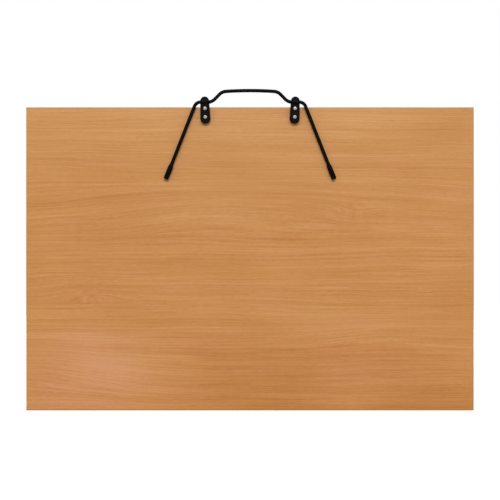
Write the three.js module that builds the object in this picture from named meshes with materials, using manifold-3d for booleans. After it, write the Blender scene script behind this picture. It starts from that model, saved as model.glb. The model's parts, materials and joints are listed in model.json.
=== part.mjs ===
// Portable drawing board: a beech-faced panel with one bent steel rod that is both its carrying handle
// and its folding stand. The rod turns in two clamp brackets screwed to the back, just above the top edge.
//
// Millimetres, +Z up. The board stands on its long bottom edge with its back towards -Y and its drawing
// face towards +Y. The origin is the bottom centre of the whole object. Left is -X and right is +X.
import * as THREE from "three";
import { mergeVertices } from "three/addons/utils/BufferGeometryUtils.js";
import Module from "manifold-3d";

// ---- Driving dimensions -------------------------------------------------------------------------------

// Panel: a chipboard core between two laminates, banded on all four edges.
const BOARD_WIDTH = 650;
const BOARD_HEIGHT = 440;
const BOARD_THICKNESS = 12;
const LAMINATE_THICKNESS = 0.75;
const BAND_THICKNESS = 1;

// Rod: round bar bent in one plane. Heights are measured from the axis that it turns about.
const ROD_RADIUS = 2.5;
const AXIS_ABOVE_EDGE = 6.75;
const AXIS_OFF_BACK = 4;
const CROWN_RISE = 16.6;
const CROWN_HALF_LENGTH = 34.75;
const CROWN_BOW_RADIUS = 540;
const CROWN_BEND_RADIUS = 14.8;
const SHOULDER_SLOPE = THREE.MathUtils.degToRad(46);
const SHOULDER_BEND_RADIUS = 14;
const JOURNAL_END = 71.2;
const LEG_BEND_RADIUS = 10;
const LEG_SPLAY = THREE.MathUtils.degToRad(21.5);
const LEG_STRAIGHT = 111;
const ROD_STEPS = 160;
const ROD_SIDES = 12;

// Soft caps on the ends of the legs.
const CAP_RADIUS = 3.625;
const CAP_LENGTH = 21.5;
const CAP_WALL = 0.875;
const CAP_END_THICKNESS = 1.5;
const CAP_TAPER = 4;
const CAP_EDGE = 0.7;

// Brackets: a base and a cover with the outline of two circles, split along the rod's axis.
const BRACKET_SPREAD = 65.4;
const BRACKET_LEAN = THREE.MathUtils.degToRad(2);
const BRACKET_TOP = { radius: 6.4, height: 1.35 };
const BRACKET_BOTTOM = { radius: 7.2, height: -23.5 };
const COVER_THICKNESS = 3;
const COVER_CHAMFER = 0.8;
const BOSS_RADIUS = 4.25;
const BORE_CLEARANCE = 0.4;

// Screws: pan heads with a cross recess.
const SCREW_DROPS = { upper: 9.7, lower: 22.1 };
const SCREW_LENGTH = 14;
const SHANK_RADIUS = 1.5;
const POINT_LENGTH = 2;
const HEAD_RADIUS = 2.6;
const HEAD_HEIGHT = 1.5;
const HEAD_RIM = 0.6;
const RECESS_DEPTH = 1;
const RECESS_ARM = 2.8;
const RECESS_WIDTH = 0.7;
const HOLE_CLEARANCE = 0.15;
const PILOT_DEPTH = 8.5;

// ---- Places worked out from them ----------------------------------------------------------------------

const BRACKET_THICKNESS = AXIS_OFF_BACK + COVER_THICKNESS;
const OVERHANG = BRACKET_THICKNESS + HEAD_HEIGHT;
const BACK_FACE = (OVERHANG - BOARD_THICKNESS) / 2;
const DRAWING_FACE = BACK_FACE + BOARD_THICKNESS;
const AXIS_Y = BACK_FACE - AXIS_OFF_BACK;
const AXIS_Z = BOARD_HEIGHT + AXIS_ABOVE_EDGE;
const SIDES = { left: -1, right: 1 };

// ---- Finishes -----------------------------------------------------------------------------------------

const finish = (color, roughness, metalness) =>
  new THREE.MeshStandardMaterial({ color, roughness, metalness });
const beech = finish(0xc88e56, 0.5, 0);
const chipboard = finish(0xb59a6c, 0.9, 0);
const blackSteel = finish(0x17171a, 0.45, 0.3);
const blackPlastic = finish(0x141416, 0.5, 0);
const blackVinyl = finish(0x101011, 0.6, 0);
const zinc = finish(0xc9c6c2, 0.3, 1);

// ---- Solids -------------------------------------------------------------------------------------------

const wasm = await Module();
wasm.setup();

// A closed geometry as a solid that can be joined and cut.
function toSolid(geometry) {
  const bare = geometry.index ? geometry.toNonIndexed() : geometry.clone();
  bare.deleteAttribute("normal");
  bare.deleteAttribute("uv");
  const merged = mergeVertices(bare, 1e-4);
  return new wasm.Manifold(
    new wasm.Mesh({
      numProp: 3,
      vertProperties: merged.attributes.position.array,
      triVerts: new Uint32Array(merged.index.array),
    }),
  );
}

function toGeometry(solid) {
  const { vertProperties, triVerts } = solid.getMesh();
  const geometry = new THREE.BufferGeometry();
  geometry.setAttribute("position", new THREE.BufferAttribute(new Float32Array(vertProperties), 3));
  geometry.setIndex(new THREE.BufferAttribute(new Uint32Array(triVerts), 1));
  geometry.computeVertexNormals();
  return geometry;
}

function named(name, geometry, material) {
  const mesh = new THREE.Mesh(geometry, material);
  mesh.name = name;
  return mesh;
}

// A block from its lowest corner to its highest.
function block(low, high) {
  const size = high.map((value, i) => value - low[i]);
  const middle = high.map((value, i) => (value + low[i]) / 2);
  return new THREE.BoxGeometry(...size).translate(...middle);
}

// A round bar along Y, from one depth to the other.
function barAlongY(radius, from, to, sides = 20) {
  return new THREE.CylinderGeometry(radius, radius, to - from, sides).translate(0, (from + to) / 2, 0);
}

// ---- Panel --------------------------------------------------------------------------------------------

// Where a screw goes into the panel, in the object's own X and Z.
function screwPlace(side, drop) {
  return {
    x: side * (BRACKET_SPREAD - drop * Math.sin(BRACKET_LEAN)),
    z: AXIS_Z - drop * Math.cos(BRACKET_LEAN),
  };
}

// Takes the screws' pilot holes out of a layer of the panel.
function drilled(geometry) {
  let solid = toSolid(geometry);
  for (const side of Object.values(SIDES)) {
    for (const drop of Object.values(SCREW_DROPS)) {
      const { x, z } = screwPlace(side, drop);
      const hole = barAlongY(SHANK_RADIUS + HOLE_CLEARANCE, BACK_FACE - 1, BACK_FACE + PILOT_DEPTH);
      solid = solid.subtract(toSolid(hole.translate(x, 0, z)));
    }
  }
  return toGeometry(solid);
}

function makePanel() {
  const panel = new THREE.Group();
  const right = BOARD_WIDTH / 2;
  const coreRight = right - BAND_THICKNESS;
  const coreTop = BOARD_HEIGHT - BAND_THICKNESS;
  const coreBack = BACK_FACE + LAMINATE_THICKNESS;
  const coreFront = DRAWING_FACE - LAMINATE_THICKNESS;

  const layer = (back, front) =>
    block([-coreRight, back, BAND_THICKNESS], [coreRight, front, coreTop]);
  panel.add(
    named("board_core", drilled(layer(coreBack, coreFront)), chipboard),
    named("back_face_laminate", drilled(layer(BACK_FACE, coreBack)), beech),
    named("drawing_face_laminate", layer(coreFront, DRAWING_FACE), beech),
  );

  // The long bands run the whole width and cover the ends of the short ones.
  const band = (name, low, high) =>
    named(name, block([low[0], BACK_FACE, low[1]], [high[0], DRAWING_FACE, high[1]]), beech);
  panel.add(
    band("bottom_edge_band", [-right, 0], [right, BAND_THICKNESS]),
    band("top_edge_band", [-right, coreTop], [right, BOARD_HEIGHT]),
    band("left_edge_band", [-right, BAND_THICKNESS], [-coreRight, coreTop]),
    band("right_edge_band", [coreRight, BAND_THICKNESS], [right, coreTop]),
  );
  return panel;
}

// ---- Handle and stand ---------------------------------------------------------------------------------

// The right half of the rod as lengths and the angle that each turns downward, from the crown's middle.
function rodSections() {
  const bow = CROWN_HALF_LENGTH / CROWN_BOW_RADIUS;
  const drop = (radius, from, to) => radius * (Math.cos(from) - Math.cos(to));
  const run = (radius, from, to) => radius * (Math.sin(to) - Math.sin(from));

  const bentDrop =
    drop(CROWN_BOW_RADIUS, 0, bow) +
    drop(CROWN_BEND_RADIUS, bow, SHOULDER_SLOPE) +
    drop(SHOULDER_BEND_RADIUS, 0, SHOULDER_SLOPE);
  const shoulder = (CROWN_RISE - bentDrop) / Math.sin(SHOULDER_SLOPE);
  const journalStart =
    run(CROWN_BOW_RADIUS, 0, bow) +
    run(CROWN_BEND_RADIUS, bow, SHOULDER_SLOPE) +
    shoulder * Math.cos(SHOULDER_SLOPE) +
    run(SHOULDER_BEND_RADIUS, 0, SHOULDER_SLOPE);
  const bend = (radius, turn) => ({ length: radius * Math.abs(turn), turn });
  const straight = (length) => ({ length, turn: 0 });

  return [
    bend(CROWN_BOW_RADIUS, bow),
    bend(CROWN_BEND_RADIUS, SHOULDER_SLOPE - bow),
    straight(shoulder),
    bend(SHOULDER_BEND_RADIUS, -SHOULDER_SLOPE),
    straight(JOURNAL_END - journalStart),
    bend(LEG_BEND_RADIUS, Math.PI / 2 - LEG_SPLAY),
    straight(LEG_STRAIGHT),
  ];
}

// The rod's centre line, from the left leg's end over the crown to the right leg's end.
class RodLine extends THREE.Curve {
  constructor() {
    super();
    this.arcLengthDivisions = 4 * ROD_STEPS;
    this.sections = rodSections();
    this.halfLength = this.sections.reduce((sum, section) => sum + section.length, 0);
  }

  getPoint(t, target = new THREE.Vector3()) {
    const along = (2 * t - 1) * this.halfLength;
    let left = Math.abs(along);
    let x = 0;
    let z = CROWN_RISE;
    let slope = 0;
    for (const { length, turn } of this.sections) {
      const part = Math.min(left, length);
      const next = slope + (turn * part) / length;
      if (turn === 0) {
        x += part * Math.cos(slope);
        z -= part * Math.sin(slope);
      } else {
        const radius = length / turn;
        x += radius * (Math.sin(next) - Math.sin(slope));
        z -= radius * (Math.cos(slope) - Math.cos(next));
      }
      slope = next;
      left -= part;
    }
    return target.set(Math.sign(along) * x, 0, z);
  }
}

// A blind cap along Z, closed at the bottom and slightly narrowed at its open end.
function capGeometry() {
  const bore = CAP_RADIUS - CAP_WALL;
  const rim = CAP_RADIUS - CAP_WALL / 2;
  const outline = [
    [0, 0],
    [CAP_RADIUS - CAP_EDGE, 0],
    [CAP_RADIUS, CAP_EDGE],
    [CAP_RADIUS, CAP_LENGTH - CAP_TAPER],
    [rim, CAP_LENGTH],
    [bore, CAP_LENGTH],
    [bore, CAP_END_THICKNESS],
    [0, CAP_END_THICKNESS],
  ];
  const points = outline.map(([radius, height]) => new THREE.Vector2(radius, height));
  return new THREE.LatheGeometry(points, 20).rotateX(Math.PI / 2);
}

function makeStand() {
  const stand = new THREE.Group();
  stand.position.set(0, AXIS_Y, AXIS_Z);

  const line = new RodLine();
  const section = new THREE.Shape().absarc(0, 0, ROD_RADIUS, 0, 2 * Math.PI);
  const rod = new THREE.ExtrudeGeometry(section, {
    extrudePath: line,
    steps: ROD_STEPS,
    curveSegments: ROD_SIDES / 2,
  });
  stand.add(named("stand_rod", rod, blackSteel));

  // Each cap's closed end stands a little past the end of its leg.
  const legEnd = line.getPoint(1);
  const past = CAP_END_THICKNESS + 0.25;
  for (const [word, side] of Object.entries(SIDES)) {
    const cap = named(`${word}_tip_cap`, capGeometry(), blackVinyl);
    cap.rotation.y = -side * LEG_SPLAY;
    cap.position.set(
      side * (legEnd.x + past * Math.sin(LEG_SPLAY)),
      0,
      legEnd.z - past * Math.cos(LEG_SPLAY),
    );
    stand.add(cap);
  }
  return stand;
}

// ---- Brackets and screws ------------------------------------------------------------------------------

// The outline that a belt makes round the bracket's two circles, as seen from behind.
function bracketOutline() {
  const { radius: topRadius, height: top } = BRACKET_TOP;
  const { radius: bottomRadius, height: bottom } = BRACKET_BOTTOM;
  const flare = Math.asin((bottomRadius - topRadius) / (top - bottom));
  return new THREE.Shape()
    .absarc(0, top, topRadius, flare, Math.PI - flare)
    .absarc(0, bottom, bottomRadius, Math.PI - flare, 2 * Math.PI + flare);
}

// The outline as a plate between two distances off the panel, which is at y = 0 in a bracket's group.
function plate(from, to, bevel = 0) {
  const settings = {
    depth: to - from - bevel,
    bevelEnabled: bevel > 0,
    bevelThickness: bevel,
    bevelSize: bevel,
    bevelOffset: -bevel,
    bevelSegments: 2,
    curveSegments: 9,
  };
  return new THREE.ExtrudeGeometry(bracketOutline(), settings).rotateX(Math.PI / 2).translate(0, -from, 0);
}

// A round bar along the rod's axis, in the frame of a bracket that leans to its side.
function barOnAxis(radius, side) {
  return new THREE.CylinderGeometry(radius, radius, 40, 28)
    .rotateZ(Math.PI / 2)
    .rotateY(-side * BRACKET_LEAN)
    .translate(0, -AXIS_OFF_BACK, 0);
}

function withHoles(solid, side) {
  let cut = solid.subtract(toSolid(barOnAxis(ROD_RADIUS + BORE_CLEARANCE, side)));
  for (const drop of Object.values(SCREW_DROPS)) {
    const hole = barAlongY(SHANK_RADIUS + HOLE_CLEARANCE, -2 * BRACKET_THICKNESS, 1);
    cut = cut.subtract(toSolid(hole.translate(0, 0, -drop)));
  }
  return cut;
}

// The cover is a chamfered plate with a round boss over the rod.
function coverSolid(side) {
  const boss = toSolid(barOnAxis(BOSS_RADIUS, side)).intersect(
    toSolid(plate(AXIS_OFF_BACK, AXIS_OFF_BACK + BOSS_RADIUS + 1)),
  );
  const facePlate = toSolid(plate(0, BRACKET_THICKNESS, COVER_CHAMFER));
  const buried = toSolid(block([-20, -AXIS_OFF_BACK, -60], [20, 5, 60]));
  return withHoles(facePlate.subtract(buried).add(boss), side);
}

// A screw along Y with its head's underside at y = 0 and its point towards +Y.
function screwGeometry() {
  const outline = [
    [0, -HEAD_HEIGHT],
    [HEAD_RADIUS * 0.55, -HEAD_HEIGHT * 0.94],
    [HEAD_RADIUS * 0.85, -HEAD_HEIGHT * 0.72],
    [HEAD_RADIUS, -HEAD_RIM],
    [HEAD_RADIUS, 0],
    [SHANK_RADIUS, 0],
    [SHANK_RADIUS, SCREW_LENGTH - POINT_LENGTH],
    [0, SCREW_LENGTH],
  ];
  const points = outline.map(([radius, height]) => new THREE.Vector2(radius, height));
  const body = toSolid(new THREE.LatheGeometry(points, 24));
  const arm = [RECESS_ARM / 2, RECESS_WIDTH / 2];
  const across = block([-arm[0], -HEAD_HEIGHT - 1, -arm[1]], [arm[0], RECESS_DEPTH - HEAD_HEIGHT, arm[1]]);
  const upright = block([-arm[1], -HEAD_HEIGHT - 1, -arm[0]], [arm[1], RECESS_DEPTH - HEAD_HEIGHT, arm[0]]);
  return toGeometry(body.subtract(toSolid(across)).subtract(toSolid(upright)));
}

function makeBracket(word, side) {
  const bracket = new THREE.Group();
  bracket.position.set(side * BRACKET_SPREAD, BACK_FACE, AXIS_Z);
  bracket.rotation.y = side * BRACKET_LEAN;

  const base = withHoles(toSolid(plate(0, AXIS_OFF_BACK)), side);
  bracket.add(
    named(`${word}_bracket_base`, toGeometry(base), blackPlastic),
    named(`${word}_bracket_cover`, toGeometry(coverSolid(side)), blackPlastic),
  );
  for (const [place, drop] of Object.entries(SCREW_DROPS)) {
    const screw = named(`${word}_${place}_screw`, screwGeometry(), zinc);
    screw.position.set(0, -BRACKET_THICKNESS, -drop);
    bracket.add(screw);
  }
  return bracket;
}

// ---- Whole object -------------------------------------------------------------------------------------

const drawingBoard = new THREE.Group();
drawingBoard.name = "portable_drawing_board";
drawingBoard.add(makePanel(), makeStand());
for (const [word, side] of Object.entries(SIDES)) {
  drawingBoard.add(makeBracket(word, side));
}

export default drawingBoard;
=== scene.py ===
"""Looks of the portable drawing board: its panel, the bent rod that is handle and stand, brackets, screws."""

import json
import math

import bmesh
import bpy
from mathutils import Matrix, Vector


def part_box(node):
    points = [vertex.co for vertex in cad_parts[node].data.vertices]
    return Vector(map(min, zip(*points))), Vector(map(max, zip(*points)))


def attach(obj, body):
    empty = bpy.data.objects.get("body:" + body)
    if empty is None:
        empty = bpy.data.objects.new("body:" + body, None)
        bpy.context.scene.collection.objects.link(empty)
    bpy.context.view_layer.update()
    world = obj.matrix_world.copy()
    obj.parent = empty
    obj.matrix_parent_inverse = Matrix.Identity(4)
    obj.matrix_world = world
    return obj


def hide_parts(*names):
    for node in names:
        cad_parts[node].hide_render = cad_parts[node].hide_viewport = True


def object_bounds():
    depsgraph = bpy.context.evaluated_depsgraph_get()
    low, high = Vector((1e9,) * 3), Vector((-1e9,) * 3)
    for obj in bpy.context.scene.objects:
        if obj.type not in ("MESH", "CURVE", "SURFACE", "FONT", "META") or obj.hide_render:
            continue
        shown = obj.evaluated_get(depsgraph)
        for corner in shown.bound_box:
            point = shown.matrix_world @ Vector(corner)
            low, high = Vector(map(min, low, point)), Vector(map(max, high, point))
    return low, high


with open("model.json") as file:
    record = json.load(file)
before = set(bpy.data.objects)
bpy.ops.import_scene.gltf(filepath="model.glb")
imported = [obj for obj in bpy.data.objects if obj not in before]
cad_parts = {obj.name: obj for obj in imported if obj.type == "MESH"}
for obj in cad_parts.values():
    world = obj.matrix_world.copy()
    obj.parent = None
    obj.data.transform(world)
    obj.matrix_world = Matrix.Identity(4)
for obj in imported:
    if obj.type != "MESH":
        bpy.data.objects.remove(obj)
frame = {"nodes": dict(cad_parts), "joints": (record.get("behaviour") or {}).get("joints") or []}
cad_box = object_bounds()
nodes = frame["nodes"]

MM = 0.001
SIDES = {"left": -1, "right": 1}

# ---- Sizes that the frame gives --------------------------------------------------------------------------

back_low, back_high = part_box("back_face_laminate")
front_low, front_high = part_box("drawing_face_laminate")
BACK = back_low.y
AXIS = Vector(frame["joints"][0]["pos_m"])
BOARD_MIDDLE = (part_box("bottom_edge_band")[0].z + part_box("top_edge_band")[1].z) / 2

# ---- Sizes of the rod, brackets, screws and panel edges, in metres ---------------------------------------

ROD_RADIUS = 2.5 * MM
CROWN_RISE = 16.6 * MM
CROWN_HALF_LENGTH = 34.75 * MM
CROWN_BOW_RADIUS = 540 * MM
CROWN_BEND_RADIUS = 14.8 * MM
SHOULDER_SLOPE = math.radians(46)
SHOULDER_BEND_RADIUS = 14 * MM
JOURNAL_END = 71.2 * MM
LEG_BEND_RADIUS = 10 * MM
LEG_SPLAY = math.radians(21.5)
LEG_STRAIGHT = 111 * MM

CAP_RADIUS = 3.625 * MM
CAP_LENGTH = 21.5 * MM
CAP_PAST_ROD = 1.75 * MM

BRACKET_SPREAD = 65.4 * MM
BRACKET_LEAN = math.radians(2)
BRACKET_TOP = (6.4 * MM, 1.35 * MM)
BRACKET_BOTTOM = (7.2 * MM, -23.5 * MM)
AXIS_OFF_BACK = BACK - AXIS.y
COVER_THICKNESS = 3 * MM
BRACKET_THICKNESS = AXIS_OFF_BACK + COVER_THICKNESS
BOSS_RADIUS = 4.25 * MM
BORE_RADIUS = ROD_RADIUS + 0.4 * MM
SCREW_HOLE_CLEARANCE = 0.15 * MM
CUTTER_LENGTH = 30 * MM

SCREW_DROPS = {"upper": 9.7 * MM, "lower": 22.1 * MM}
SCREW_TURNS = {"left_upper": 38, "left_lower": 52, "right_upper": 12, "right_lower": 71}
HEAD_RADIUS = 2.6 * MM
HEAD_HEIGHT = 1.5 * MM
SHANK_RADIUS = 1.5 * MM
SCREW_LENGTH = 14 * MM
POINT_LENGTH = 2 * MM

LAMINATE_CHAMFER = 0.12 * MM
BAND_EDGE_RADIUS = 0.7 * MM


# ---- Material building -----------------------------------------------------------------------------------


def linear(red, green, blue):
    """A colour given as 0-255 display values, as the linear colour that a shader wants."""

    def channel(value):
        value /= 255
        return value / 12.92 if value <= 0.04045 else ((value + 0.055) / 1.055) ** 2.4

    return (channel(red), channel(green), channel(blue), 1.0)


class Shader:
    """A material with one Principled shader, and short calls that add the nodes feeding it."""

    def __init__(self, name, **values):
        self.material = bpy.data.materials.new(name)
        self.material.use_nodes = True
        self.tree = self.material.node_tree
        self.surface = self.tree.nodes["Principled BSDF"]
        for socket, value in values.items():
            self.surface.inputs[socket.replace("_", " ")].default_value = value
        self.coordinates = self.add("ShaderNodeTexCoord").outputs["Object"]

    def add(self, kind, **settings):
        node = self.tree.nodes.new(kind)
        for key, value in settings.items():
            setattr(node, key, value)
        return node

    def put(self, socket, value):
        if isinstance(value, bpy.types.NodeSocket):
            self.tree.links.new(value, socket)
        else:
            socket.default_value = value

    def math(self, operation, *values):
        node = self.add("ShaderNodeMath", operation=operation)
        for socket, value in zip(node.inputs, values):
            self.put(socket, value)
        return node.outputs[0]

    def plus(self, *values):
        total = values[0]
        for value in values[1:]:
            total = self.math("ADD", total, value)
        return total

    def times(self, a, b):
        return self.math("MULTIPLY", a, b)

    def in_millimetres(self):
        """The object's own X, Y and Z in millimetres."""
        scaled = self.add("ShaderNodeVectorMath", operation="SCALE")
        self.put(scaled.inputs[0], self.coordinates)
        scaled.inputs["Scale"].default_value = 1 / MM
        split = self.add("ShaderNodeSeparateXYZ")
        self.put(split.inputs[0], scaled.outputs[0])
        return split.outputs[0], split.outputs[1], split.outputs[2]

    def point(self, x, y, z):
        node = self.add("ShaderNodeCombineXYZ")
        for socket, value in zip(node.inputs, (x, y, z)):
            self.put(socket, value)
        return node.outputs[0]

    def noise(self, vector, scale=1.0, detail=2.0):
        """Noise around 0, mostly between -0.5 and 0.5."""
        node = self.add("ShaderNodeTexNoise")
        self.put(node.inputs["Vector"], vector)
        node.inputs["Scale"].default_value = scale
        node.inputs["Detail"].default_value = detail
        return self.math("SUBTRACT", node.outputs["Fac"], 0.5)

    def streaks(self, along, across, length, width, seed, detail=2.0):
        """Noise drawn out along the grain: features about length by width, in millimetres."""
        drawn_out = self.point(self.times(along, 1 / length), self.times(across, 1 / width), seed)
        return self.noise(drawn_out, detail=detail)

    def hump(self, along, across, centre, reach):
        """A smooth hump, 1 at its centre, that fades over its reach each way."""
        a = self.math("DIVIDE", self.math("SUBTRACT", along, centre[0]), reach[0])
        b = self.math("DIVIDE", self.math("SUBTRACT", across, centre[1]), reach[1])
        square = self.plus(self.times(a, a), self.times(b, b))
        return self.math("EXPONENT", self.times(square, -1.0))

    def ramp(self, value, stops):
        node = self.add("ShaderNodeValToRGB")
        self.put(node.inputs[0], value)
        elements = node.color_ramp.elements
        while len(elements) < len(stops):
            elements.new(0.5)
        for element, (position, colour) in zip(elements, stops):
            element.position = position
            element.color = colour
        return node.outputs[0]

    def mix(self, factor, first, second):
        node = self.add("ShaderNodeMix", data_type="RGBA")
        self.put(node.inputs["Factor"], factor)
        self.put(node.inputs["A"], first)
        self.put(node.inputs["B"], second)
        return node.outputs["Result"]

    def spread(self, value, low, high, to_low, to_high):
        node = self.add("ShaderNodeMapRange")
        for socket, number in zip(node.inputs, (value, low, high, to_low, to_high)):
            self.put(socket, number)
        return node.outputs[0]

    def colour(self, value):
        self.put(self.surface.inputs["Base Color"], value)

    def roughness(self, value):
        self.put(self.surface.inputs["Roughness"], value)

    def bump(self, height, distance, strength=1.0):
        node = self.add("ShaderNodeBump")
        node.inputs["Distance"].default_value = distance
        node.inputs["Strength"].default_value = strength
        self.put(node.inputs["Height"], height)
        self.put(self.surface.inputs["Normal"], node.outputs[0])


# ---- Wood ------------------------------------------------------------------------------------------------

BEECH_YELLOW = [(0.05, linear(181, 118, 53)), (0.5, linear(195, 135, 72)), (0.95, linear(207, 151, 92))]
BEECH_PINK = [(0.05, linear(182, 113, 59)), (0.5, linear(197, 132, 82)), (0.95, linear(210, 149, 105))]

# In these tables each centre and each reach is (along the grain, across it), and lengths are in millimetres.
# Flames, which lift the grain lines: centre, reach and lift.
BACK_FLAMES = [
    ((30, 302), (265, 40), 25),
    ((-325, 345), (140, 30), 12),
    ((-222, 168), (58, 9), 10),
    ((-330, 178), (45, 12), -7),
    ((152, 286), (30, 12), -7),
    ((250, 110), (170, 18), 13),
    ((-325, 55), (130, 40), 20),
]
FRONT_FLAMES = [
    ((40, 214), (260, 46), 30),
    ((-150, 196), (74, 9), 10),
    ((255, 330), (90, 20), -12),
    ((-280, 80), (120, 30), 16),
    ((120, 60), (150, 18), -11),
]

# Places where the grain curls round a bud: centre and reach.
BACK_CURLS = [((-240, 170), (52, 26)), ((150, 290), (42, 24))]
FRONT_CURLS = [((-150, 200), (48, 24)), ((210, 95), (40, 20))]

# Slow changes of tone over the back, partly painted sheen: the lighter spots low on the left and along the
# top paint the sheen of the lights, and the rest are changes of tone. Centre, reach and amount.
BACK_TONE_AND_SHEEN = [
    ((-205, 45), (125, 60), 0.42),
    ((-15, 35), (125, 48), -0.26),
    ((160, 30), (50, 30), 0.12),
    ((290, 10), (90, 34), -0.2),
    ((-10, 425), (300, 42), 0.1),
    ((-20, 130), (340, 26), 0.1),
    ((165, 418), (60, 26), 0.22),
]
# Slow shifts towards the paler, pinker colours over the back, partly painted sheen: the one low on the left
# paints the pale sheen of a light. Centre, reach and amount.
BACK_PINK_AND_SHEEN = [
    ((-225, 45), (100, 60), 0.6),
    ((150, 60), (70, 30), 0.4),
    ((-310, 330), (40, 90), -0.3),
    ((0, 410), (420, 90), -0.35),
    ((0, 230), (400, 80), -0.15),
]


def beech_face(name, seed, flames, curled, tone_and_sheen=(), pink_and_sheen=()):
    """Beech-effect foil with its grain along X: long streaks that sweep round flames, small flecks, and given
    slow shifts of tone and pink that are partly painted sheen.
    """
    s = Shader(name, Specular_IOR_Level=0.35)
    x, y, z = s.in_millimetres()

    sway = s.streaks(x, z, 260, 90, seed + 3, detail=1.0)
    shiver = s.streaks(x, z, 60, 14, seed + 7, detail=1.0)
    lifts = [s.times(s.hump(x, z, centre, reach), lift) for centre, reach, lift in flames]
    grain = s.math("SUBTRACT", z, s.plus(s.times(sway, 15.0), s.times(shiver, 1.3), *lifts))

    bands = s.streaks(x, grain, 520, 15, seed, detail=1.0)
    lines = s.streaks(x, grain, 340, 3.0, seed + 11, detail=2.0)
    threads = s.streaks(x, grain, 80, 1.25, seed + 19, detail=2.0)
    dashes = s.streaks(x, grain, 11, 1.5, seed + 71, detail=2.0)
    fleck_field = s.streaks(x, grain, 7.0, 0.8, seed + 31, detail=1.0)
    flecks = s.spread(fleck_field, 0.1, 0.24, 0.0, 1.0)
    clouds = s.streaks(x, z, 130, 75, seed + 43, detail=1.0)
    curls = s.streaks(x, grain, 11, 5, seed + 53, detail=2.0)
    curly = s.plus(*[s.hump(x, z, centre, reach) for centre, reach in curled])

    # The last terms of the tone add the given slow spots, partly painted sheen of the lights.
    tone = s.plus(
        0.5,
        s.times(bands, 0.5),
        s.times(lines, 0.8),
        s.times(threads, 0.95),
        s.times(dashes, 0.5),
        s.times(clouds, 0.4),
        s.times(flecks, -0.25),
        s.times(s.times(curls, curly), 0.7),
        *[s.times(s.hump(x, z, centre, reach), amount) for centre, reach, amount in tone_and_sheen],
    )
    # Share of the pinker ramp: random pink streaks and the given shifts, which are partly painted sheen.
    pink_and_sheen_share = s.plus(
        0.25,
        s.times(s.streaks(x, z, 90, 38, seed + 67, detail=2.0), 1.1),
        *[s.times(s.hump(x, z, centre, reach), amount) for centre, reach, amount in pink_and_sheen],
    )
    s.colour(s.mix(pink_and_sheen_share, s.ramp(tone, BEECH_YELLOW), s.ramp(tone, BEECH_PINK)))
    s.roughness(s.plus(0.46, s.times(lines, 0.12), s.times(flecks, 0.1)))
    relief = s.plus(s.times(threads, 0.5), s.times(flecks, -1.0))
    s.bump(relief, 0.03 * MM, 0.5)
    return s.material


def beech_edge(name, seed, along):
    """Beech-effect edge band with its grain along the band, which runs along X or Z."""
    s = Shader(name, Specular_IOR_Level=0.35)
    x, y, z = s.in_millimetres()
    length, width = (x, y) if along == "X" else (z, y)
    sway = s.streaks(length, width, 90, 30, seed + 5, detail=1.0)
    grain = s.plus(width, s.times(sway, 5.0))
    lines = s.streaks(length, grain, 120, 2.6, seed, detail=2.0)
    threads = s.streaks(length, grain, 38, 0.8, seed + 9, detail=2.0)
    flecks = s.spread(s.streaks(length, grain, 3.0, 0.4, seed + 17, detail=1.0), 0.15, 0.26, 0.0, 1.0)
    tone = s.plus(0.42, s.times(lines, 0.55), s.times(threads, 0.35), s.times(flecks, -0.16))
    s.colour(s.ramp(tone, BEECH_YELLOW))
    s.roughness(s.plus(0.42, s.times(lines, 0.12)))
    s.bump(s.plus(s.times(threads, 0.5), s.times(flecks, -1.0)), 0.03 * MM, 0.5)
    return s.material


def chipboard():
    """Pressed wood chips with finer dust between them."""
    s = Shader("chipboard_core", Specular_IOR_Level=0.2)
    chips = s.noise(s.coordinates, scale=420, detail=3)
    dust = s.noise(s.coordinates, scale=1800, detail=2)
    tone = s.plus(0.5, s.times(chips, 1.3), s.times(dust, 0.5))
    dark, middle, pale = linear(120, 88, 52), linear(181, 150, 104), linear(214, 190, 150)
    s.colour(s.ramp(tone, [(0.1, dark), (0.5, middle), (0.9, pale)]))
    s.roughness(s.plus(0.88, s.times(dust, 0.15)))
    s.bump(chips, 0.3 * MM, 0.6)
    return s.material


# ---- Metal and plastic -----------------------------------------------------------------------------------


def powder_coat():
    """Satin black powder coat with a fine orange peel."""
    s = Shader("black_powder_coat", Specular_IOR_Level=0.07)
    peel = s.noise(s.coordinates, scale=1500, detail=2)
    cloud = s.noise(s.coordinates, scale=90, detail=2)
    tone = s.plus(0.5, s.times(cloud, 0.8), s.times(peel, 0.3))
    s.colour(s.ramp(tone, [(0.2, linear(3, 3, 4)), (0.8, linear(7, 7, 8))]))
    s.roughness(s.plus(0.5, s.times(cloud, 0.1), s.times(peel, 0.06)))
    s.bump(peel, 0.005 * MM, 0.3)
    return s.material


def moulded_plastic():
    """Black moulded plastic with a fine spark-eroded texture."""
    s = Shader("black_moulded_plastic", Specular_IOR_Level=0.06)
    texture = s.noise(s.coordinates, scale=2600, detail=2)
    cloud = s.noise(s.coordinates, scale=160, detail=2)
    tone = s.plus(0.5, s.times(cloud, 0.9), s.times(texture, 0.3))
    s.colour(s.ramp(tone, [(0.2, linear(3, 3, 3)), (0.8, linear(8, 8, 8))]))
    s.roughness(s.plus(0.5, s.times(cloud, 0.12), s.times(texture, 0.12)))
    s.bump(texture, 0.02 * MM, 0.5)
    return s.material


def soft_vinyl():
    """Black dipped vinyl, duller than the rod."""
    s = Shader("black_soft_vinyl", Specular_IOR_Level=0.06)
    cloud = s.noise(s.coordinates, scale=220, detail=3)
    grain = s.noise(s.coordinates, scale=1900, detail=2)
    tone = s.plus(0.5, s.times(cloud, 0.9), s.times(grain, 0.3))
    s.colour(s.ramp(tone, [(0.2, linear(3, 3, 3)), (0.8, linear(8, 8, 8))]))
    s.roughness(s.plus(0.6, s.times(cloud, 0.15)))
    s.bump(grain, 0.02 * MM, 0.4)
    return s.material


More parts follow.
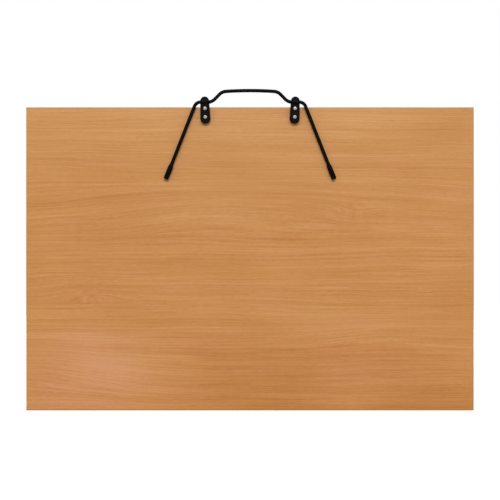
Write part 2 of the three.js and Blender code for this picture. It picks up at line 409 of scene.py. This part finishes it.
def zinc_plate():
    """Bright zinc plate with faint turning marks."""
    s = Shader("bright_zinc_plate", Metallic=0.7)
    turning = s.noise(s.coordinates, scale=900, detail=3)
    cloud = s.noise(s.coordinates, scale=300, detail=2)
    tone = s.plus(0.5, s.times(cloud, 0.9), s.times(turning, 0.4))
    s.colour(s.ramp(tone, [(0.2, linear(164, 160, 154)), (0.8, linear(197, 193, 187))]))
    s.roughness(s.plus(0.42, s.times(cloud, 0.15), s.times(turning, 0.12)))
    s.bump(turning, 0.01 * MM, 0.5)
    return s.material


# ---- Mesh building ---------------------------------------------------------------------------------------


def to_object(name, bm, material, sharp=35):
    """A mesh object from a bmesh, shaded smooth except over edges sharper than the angle given."""
    bmesh.ops.recalc_face_normals(bm, faces=bm.faces)
    mesh = bpy.data.meshes.new(name)
    bm.to_mesh(mesh)
    bm.free()
    mesh.materials.append(material)
    piece = bpy.data.objects.new(name, mesh)
    bpy.context.scene.collection.objects.link(piece)
    smooth(piece, sharp)
    return piece


def smooth(piece, sharp=35):
    """Smooth shading, except over edges sharper than the angle given."""
    for polygon in piece.data.polygons:
        polygon.use_smooth = True
    piece.data.set_sharp_from_angle(angle=math.radians(sharp))


def fit(piece, body, node):
    """Puts a finished piece in the place of the CAD node that it stands for."""
    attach(piece, body)
    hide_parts(node)


def block(low, high):
    """A box between two corners, as a bmesh."""
    bm = bmesh.new()
    bmesh.ops.create_cube(bm, size=1)
    low, high = Vector(low), Vector(high)
    bmesh.ops.scale(bm, vec=high - low, verts=bm.verts)
    bmesh.ops.translate(bm, vec=(low + high) / 2, verts=bm.verts)
    return bm


def round_edges(bm, chosen, radius, segments):
    """Rounds the edges whose two ends both pass the test."""
    edges = [e for e in bm.edges if chosen(*[v.co for v in e.verts])]
    bmesh.ops.bevel(bm, geom=edges, offset=radius, segments=segments, profile=0.5, affect="EDGES")


def lathe(profile, segments):
    """A closed solid of revolution about Z from (radius, height) points that start and end on the axis."""
    bm = bmesh.new()
    rings = []
    for radius, height in profile:
        if radius == 0:
            rings.append([bm.verts.new((0, 0, height))])
            continue
        angles = [2 * math.pi * i / segments for i in range(segments)]
        rings.append([bm.verts.new((radius * math.cos(a), radius * math.sin(a), height)) for a in angles])
    for lower, upper in zip(rings, rings[1:]):
        join_rings(bm, lower, upper)
    return bm


def join_rings(bm, lower, upper):
    """Faces between two rings of vertices, one of which may be a single point."""
    count = max(len(lower), len(upper))
    for i in range(count):
        j = (i + 1) % count
        if len(lower) == 1:
            bm.faces.new((lower[0], upper[i], upper[j]))
        elif len(upper) == 1:
            bm.faces.new((lower[i], lower[j], upper[0]))
        else:
            bm.faces.new((lower[i], lower[j], upper[j], upper[i]))


def arc(centre, radius, start, end):
    """Points of an arc in a (radius, height) profile, between two angles in degrees."""
    steps = 5
    for i in range(steps + 1):
        angle = math.radians(start + (end - start) * i / steps)
        yield centre[0] + radius * math.cos(angle), centre[1] + radius * math.sin(angle)


def cut(piece, *cutters):
    """Takes the cutters out of a piece, and removes them."""
    for cutter in cutters:
        change = piece.modifiers.new("cut", "BOOLEAN")
        change.operation = "DIFFERENCE"
        change.solver = "EXACT"
        change.object = cutter
    bpy.context.view_layer.update()
    evaluated = piece.evaluated_get(bpy.context.evaluated_depsgraph_get())
    old = piece.data
    piece.data = bpy.data.meshes.new_from_object(evaluated)
    piece.modifiers.clear()
    bpy.data.meshes.remove(old)
    for cutter in cutters:
        bpy.data.meshes.remove(cutter.data)
    smooth(piece)


def tool(bm):
    """A plain object that only cuts."""
    mesh = bpy.data.meshes.new("tool")
    bmesh.ops.recalc_face_normals(bm, faces=bm.faces)
    bm.to_mesh(mesh)
    bm.free()
    cutter = bpy.data.objects.new("tool", mesh)
    bpy.context.scene.collection.objects.link(cutter)
    return cutter


def bar(radius, length):
    """A bar along Z about the origin, as a bmesh."""
    return lathe([(0, -length / 2), (radius, -length / 2), (radius, length / 2), (0, length / 2)], 40)


# ---- Panel -----------------------------------------------------------------------------------------------

# Each edge's grain direction, the axis that it faces along, and whether it is at that axis's low or high end.
EDGES = [("bottom", "X", 2, 0), ("top", "X", 2, 1), ("left", "Z", 0, 0), ("right", "Z", 0, 1)]


def make_panel():
    """Two chamfered face laminates, four bands with rounded outer edges, and the hidden core."""
    back = beech_face("beech_back", 0.0, BACK_FLAMES, BACK_CURLS, BACK_TONE_AND_SHEEN, BACK_PINK_AND_SHEEN)
    front = beech_face("beech_front", 61.0, FRONT_FLAMES, FRONT_CURLS)

    bm = block(back_low, back_high)
    round_edges(bm, lambda a, b: max(a.y, b.y) < (back_low.y + back_high.y) / 2, LAMINATE_CHAMFER, 1)
    fit(to_object("back_face", bm, back), "board", "back_face_laminate")

    bm = block(front_low, front_high)
    round_edges(bm, lambda a, b: min(a.y, b.y) > (front_low.y + front_high.y) / 2, LAMINATE_CHAMFER, 1)
    fit(to_object("drawing_face", bm, front), "board", "drawing_face_laminate")

    for side, along, axis, end in EDGES:
        node = f"{side}_edge_band"
        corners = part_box(node)
        outer = corners[end][axis]

        def on_outer_face(a, b):
            return max(abs(a[axis] - outer), abs(b[axis] - outer)) < 1e-6

        bm = block(*corners)
        round_edges(bm, on_outer_face, BAND_EDGE_RADIUS, 4)
        wood = beech_edge(f"beech_{side}_band", 5.0 + len(side), along)
        fit(to_object(f"{side}_band", bm, wood, sharp=50), "board", node)

    core = nodes["board_core"]
    core.data.materials.clear()
    core.data.materials.append(chipboard())


# ---- Handle and stand ------------------------------------------------------------------------------------


def rod_line():
    """Points of the rod's right half from the crown's middle, each (x, z above the axis, slope downward)."""
    bow = CROWN_HALF_LENGTH / CROWN_BOW_RADIUS
    arcs = [
        (CROWN_BOW_RADIUS, 0, bow),
        (CROWN_BEND_RADIUS, bow, SHOULDER_SLOPE),
        (SHOULDER_BEND_RADIUS, 0, SHOULDER_SLOPE),
    ]
    bent_drop = sum(r * (math.cos(a) - math.cos(b)) for r, a, b in arcs)
    bent_run = sum(r * (math.sin(b) - math.sin(a)) for r, a, b in arcs)
    shoulder = (CROWN_RISE - bent_drop) / math.sin(SHOULDER_SLOPE)
    journal_start = bent_run + shoulder * math.cos(SHOULDER_SLOPE)

    points = [(0.0, CROWN_RISE, 0.0)]

    def straight(length):
        x, z, slope = points[-1]
        points.append((x + length * math.cos(slope), z - length * math.sin(slope), slope))

    def bend(radius, turn, steps):
        x, z, start = points[-1]
        signed = radius if turn > 0 else -radius
        for i in range(1, steps + 1):
            slope = start + turn * i / steps
            points.append(
                (
                    x + signed * (math.sin(slope) - math.sin(start)),
                    z - signed * (math.cos(start) - math.cos(slope)),
                    slope,
                )
            )

    bend(CROWN_BOW_RADIUS, bow, 8)
    bend(CROWN_BEND_RADIUS, SHOULDER_SLOPE - bow, 14)
    straight(shoulder)
    bend(SHOULDER_BEND_RADIUS, -SHOULDER_SLOPE, 14)
    straight(JOURNAL_END - journal_start)
    bend(LEG_BEND_RADIUS, math.pi / 2 - LEG_SPLAY, 20)
    straight(LEG_STRAIGHT)
    return points


def make_rod():
    """The whole rod, swept along its line. Returns the right leg's end, as (x, z above the axis, slope)."""
    half = rod_line()
    line = [(-x, z, -slope) for x, z, slope in reversed(half[1:])] + half
    segments = 28
    bm = bmesh.new()
    rings = []
    for x, z, slope in line:
        centre = AXIS + Vector((x, 0, z))
        up = Vector((math.sin(slope), 0, math.cos(slope)))
        ring = []
        for i in range(segments):
            angle = 2 * math.pi * i / segments
            offset = up * math.cos(angle) + Vector((0, 1, 0)) * math.sin(angle)
            ring.append(bm.verts.new(centre + offset * ROD_RADIUS))
        rings.append(ring)
    for lower, upper in zip(rings, rings[1:]):
        join_rings(bm, lower, upper)
    bm.faces.new(rings[0])
    bm.faces.new(rings[-1])
    rod = to_object("stand_rod_bent", bm, powder_coat(), sharp=50)
    fit(rod, "stand", "stand_rod")
    return half[-1]


def make_cap(word, side, leg_end, material):
    """A dipped cap: rounded closed end, straight body, and a mouth that narrows on to the rod."""
    corner = 1.1 * MM
    lip = 0.25 * MM
    mouth = ROD_RADIUS + 0.55 * MM
    end_wall = 1.5 * MM
    profile = [(0, 0)]
    profile += arc((CAP_RADIUS - corner, corner), corner, -90, 0)
    profile += [(CAP_RADIUS, CAP_LENGTH - 6 * MM), (CAP_RADIUS - 0.12 * MM, CAP_LENGTH - 3.2 * MM)]
    profile += arc((mouth, CAP_LENGTH - lip), lip, 0, 180)
    profile += [(mouth - lip, end_wall), (0, end_wall)]
    bm = lathe(profile, 40)
    x, z, slope = leg_end
    x += CAP_PAST_ROD * math.cos(slope)
    z -= CAP_PAST_ROD * math.sin(slope)
    place = Matrix.Translation(AXIS + Vector((side * x, 0, z)))
    bmesh.ops.transform(bm, matrix=place @ Matrix.Rotation(-side * LEG_SPLAY, 4, "Y"), verts=bm.verts)
    cap = to_object(f"{word}_cap", bm, material, sharp=60)
    fit(cap, "stand", f"{word}_tip_cap")


# ---- Brackets and screws ---------------------------------------------------------------------------------


def bracket_outline():
    """The bracket's outline as (height of the local circle's centre, its radius, angle), from the right."""
    arc_steps, side_steps = 20, 22
    (top_radius, top), (bottom_radius, bottom) = BRACKET_TOP, BRACKET_BOTTOM
    flare = math.asin((bottom_radius - top_radius) / (top - bottom))
    outline = []
    for i in range(arc_steps):
        outline.append((top, top_radius, flare + (math.pi - 2 * flare) * i / arc_steps))
    for i in range(side_steps):
        way = i / side_steps
        centre = top + (bottom - top) * way
        outline.append((centre, top_radius + (bottom_radius - top_radius) * way, math.pi - flare))
    for i in range(arc_steps):
        outline.append((bottom, bottom_radius, math.pi - flare + (math.pi + 2 * flare) * i / arc_steps))
    for i in range(side_steps):
        way = i / side_steps
        centre = bottom + (top - bottom) * way
        outline.append((centre, bottom_radius + (top_radius - bottom_radius) * way, flare))
    return outline


def outline_ring(bm, inset, height):
    """A ring of vertices, drawn in by the inset and standing off the panel by the height at each one."""
    ring = []
    for centre, radius, angle in bracket_outline():
        reach = max(radius - inset, 0)
        z = centre + reach * math.sin(angle)
        ring.append(bm.verts.new((reach * math.cos(angle), -height(z), z)))
    return ring


def outline_solid(levels):
    """A solid of stacked outlines: each level is an inset and a height, or a height that follows Z."""
    bm = bmesh.new()
    rings = []
    for inset, height in levels:
        rings.append(outline_ring(bm, inset, height if callable(height) else lambda z: height))
    for lower, upper in zip(rings, rings[1:]):
        join_rings(bm, lower, upper)
    bm.faces.new(rings[0])
    last_inset = levels[-1][0]
    if last_inset < BRACKET_BOTTOM[0]:
        bm.faces.new(rings[-1])
    else:
        bmesh.ops.remove_doubles(bm, verts=bm.verts, dist=0.01 * MM)
    return bm


def cover_top(z):
    """How far the cover stands off the panel: a flat plate that swells into a boss over the rod."""
    boss = math.sqrt(max(BOSS_RADIUS**2 - z * z, 0))
    blend = 0.35 * MM
    above_plate = (boss - COVER_THICKNESS) / blend
    return AXIS_OFF_BACK + COVER_THICKNESS + blend * math.log1p(math.exp(above_plate))


def cover_levels():
    """Levels of the cover: a softened lower edge, straight sides, a rounded upper edge and the top."""
    soft = 0.12 * MM
    radius = 0.9 * MM
    steps = 5
    levels = [(soft, AXIS_OFF_BACK), (0, AXIS_OFF_BACK + soft)]
    for i in range(steps + 1):
        angle = math.pi / 2 * i / steps
        drop = radius * (1 - math.sin(angle))
        levels.append((radius * (1 - math.cos(angle)), lambda z, drop=drop: cover_top(z) - drop))
    for inset in (1.6, 2.4, 3.3, 4.3, 5.3):
        levels.append((inset * MM, cover_top))
    return levels + [(BRACKET_BOTTOM[0], cover_top)]


def bracket_place(side):
    """From a bracket's own frame, with its back on the panel and its bore's middle at the origin."""
    place = Matrix.Translation(Vector((side * BRACKET_SPREAD, BACK, AXIS.z)))
    return place @ Matrix.Rotation(side * BRACKET_LEAN, 4, "Y")


def bore_tool(side):
    """The rod's bore through a bracket, in the object's own frame."""
    bm = bar(BORE_RADIUS, CUTTER_LENGTH)
    bmesh.ops.rotate(bm, matrix=Matrix.Rotation(math.pi / 2, 3, "Y"), verts=bm.verts)
    bmesh.ops.translate(bm, vec=(side * BRACKET_SPREAD, AXIS.y, AXIS.z), verts=bm.verts)
    return tool(bm)


def screw_tool(side, drop):
    """A screw's hole through a bracket, in the object's own frame."""
    bm = bar(SHANK_RADIUS + SCREW_HOLE_CLEARANCE, CUTTER_LENGTH)
    bmesh.ops.rotate(bm, matrix=Matrix.Rotation(math.pi / 2, 3, "X"), verts=bm.verts)
    bmesh.ops.translate(bm, vec=(0, 0, -drop), verts=bm.verts)
    bmesh.ops.transform(bm, matrix=bracket_place(side), verts=bm.verts)
    return tool(bm)


def make_bracket(word, side, plastic):
    """A base on the panel and a cover over the rod, both cut by the rod's bore and the two screw holes."""
    soft = 0.25 * MM
    base_levels = [(soft, 0), (0, soft), (0, AXIS_OFF_BACK - soft / 2), (soft / 2, AXIS_OFF_BACK)]
    for part, levels in (("base", base_levels), ("cover", cover_levels())):
        bm = outline_solid(levels)
        bmesh.ops.transform(bm, matrix=bracket_place(side), verts=bm.verts)
        piece = to_object(f"{word}_clamp_{part}", bm, plastic)
        cut(piece, bore_tool(side), *[screw_tool(side, drop) for drop in SCREW_DROPS.values()])
        fit(piece, "board", f"{word}_bracket_{part}")


def cross_tool(turn):
    """A tapered cross that cuts a screw's recess, standing in a head whose top is at the origin."""
    bm = bmesh.new()
    mouth = (0.4 * MM, 1.8 * MM, 0.52 * MM)
    floor = (-1.25 * MM, 0.75 * MM, 0.28 * MM)
    rings = []
    for height, arm, half in (mouth, floor):
        ring = []
        for quarter in range(4):
            turned = Matrix.Rotation(math.radians(turn) + quarter * math.pi / 2, 2)
            for point in ((half, half), (half, arm), (-half, arm)):
                x, y = turned @ Vector(point)
                ring.append(bm.verts.new((x, y, height)))
        rings.append(ring)
    join_rings(bm, rings[1], rings[0])
    bm.faces.new(rings[0])
    bm.faces.new(rings[1])
    return bm


def make_screw(word, place_word, side, drop, zinc):
    """A pan-head screw, made along Z with its head's top at the origin, then turned to face -Y."""
    rim = 0.55 * MM
    crown = HEAD_HEIGHT - rim
    chamfer = 0.1 * MM
    steps = 8
    fullness = 0.75
    profile = [(0, 0)]
    for i in range(1, steps + 1):
        angle = math.pi / 2 * (1 - i / steps)
        profile.append((HEAD_RADIUS * math.cos(angle) ** fullness, -crown + crown * math.sin(angle)))
    profile += [
        (HEAD_RADIUS, -HEAD_HEIGHT + chamfer),
        (HEAD_RADIUS - chamfer, -HEAD_HEIGHT),
        (SHANK_RADIUS, -HEAD_HEIGHT),
        (SHANK_RADIUS, -HEAD_HEIGHT - SCREW_LENGTH + POINT_LENGTH),
        (0, -HEAD_HEIGHT - SCREW_LENGTH),
    ]
    screw = to_object(f"{word}_{place_word}_pan_screw", lathe(profile, 48), zinc)
    cut(screw, tool(cross_tool(SCREW_TURNS[f"{word}_{place_word}"])))
    stand_up = Matrix.Translation(Vector((0, -BRACKET_THICKNESS - HEAD_HEIGHT, -drop)))
    screw.data.transform(bracket_place(side) @ stand_up @ Matrix.Rotation(math.pi / 2, 4, "X"))
    fit(screw, "board", f"{word}_{place_word}_screw")


# ---- Stage -----------------------------------------------------------------------------------------------


def make_floor():
    """A pale floor that fades out into the white background."""
    bm = bmesh.new()
    bmesh.ops.create_circle(bm, cap_ends=True, segments=96, radius=3.0)
    s = Shader("pale_floor", Specular_IOR_Level=0.05, Roughness=0.9, Emission_Color=(1, 1, 1, 1))
    seen = s.add("ShaderNodeLightPath").outputs["Is Camera Ray"]
    s.colour(s.mix(seen, (0.45, 0.45, 0.44, 1), (0.82, 0.82, 0.815, 1)))
    s.put(s.surface.inputs["Emission Strength"], s.times(seen, 0.42))
    away = s.add("ShaderNodeVectorMath", operation="LENGTH")
    s.put(away.inputs[0], s.coordinates)
    s.put(s.surface.inputs["Alpha"], s.spread(away.outputs["Value"], 1.0, 2.6, 1.0, 0.0))
    floor = to_object("floor", bm, s.material)
    floor.location.z = cad_box[0].z - 0.2 * MM


def make_light(name, place, target, size, power):
    lamp = bpy.data.lights.new(name, "AREA")
    lamp.shape = "RECTANGLE"
    lamp.size, lamp.size_y = size
    lamp.energy = power
    light = bpy.data.objects.new(name, lamp)
    light.location = place
    light.rotation_euler = (Vector(target) - Vector(place)).to_track_quat("-Z", "Y").to_euler()
    light.visible_camera = False
    bpy.context.scene.collection.objects.link(light)


def make_world():
    """An even white surround, seen as white and lighting more gently."""
    world = bpy.data.worlds.new("studio")
    world.use_nodes = True
    tree = world.node_tree
    background = tree.nodes["Background"]
    background.inputs["Color"].default_value = (1, 1, 1, 1)
    seen = tree.nodes.new("ShaderNodeLightPath")
    strength = tree.nodes.new("ShaderNodeMapRange")
    strength.inputs["To Min"].default_value = 0.2
    strength.inputs["To Max"].default_value = 1.0
    tree.links.new(seen.outputs["Is Camera Ray"], strength.inputs["Value"])
    tree.links.new(strength.outputs[0], background.inputs["Strength"])
    bpy.context.scene.world = world


def make_studio():
    """A large key light high on the stand side, weak ones beside it and above, and two behind the board."""
    make_world()
    make_floor()
    middle = (0, 0, BOARD_MIDDLE)
    make_light("key", (0, -5.4, 3.4), middle, (3.2, 1.7), 262)
    make_light("fill_left", (-1.9, -1.7, 1.0), middle, (1.0, 1.0), 8)
    make_light("fill_right", (1.9, -1.7, 1.0), middle, (1.0, 1.0), 8)
    make_light("top", (0, 0, 2.6), middle, (1.8, 1.4), 15)
    make_light("back_left", (-1.5, 1.9, 1.5), middle, (1.3, 1.0), 32)
    make_light("back_right", (1.5, 1.9, 1.5), middle, (1.3, 1.0), 38)


def make_camera():
    """Level and square on to the back, a little above the board's middle."""
    distance = 1.2
    seen_width = 725.75 * MM
    above_middle = 12.8 * MM
    data = bpy.data.cameras.new("camera")
    data.sensor_width = 36
    data.lens = data.sensor_width * distance / seen_width
    camera = bpy.data.objects.new("camera", data)
    camera.location = (0, BACK - distance, BOARD_MIDDLE + above_middle)
    camera.rotation_euler = (math.pi / 2, 0, 0)
    bpy.context.scene.collection.objects.link(camera)
    bpy.context.scene.camera = camera
    bpy.context.scene.view_settings.view_transform = "Standard"


# ---- Everything ------------------------------------------------------------------------------------------

make_camera()
make_studio()
make_panel()
leg_end = make_rod()
vinyl, plastic, zinc = soft_vinyl(), moulded_plastic(), zinc_plate()
for word, side in SIDES.items():
    make_cap(word, side, leg_end, vinyl)
    make_bracket(word, side, plastic)
    for place_word, drop in SCREW_DROPS.items():
        make_screw(word, place_word, side, drop, zinc)
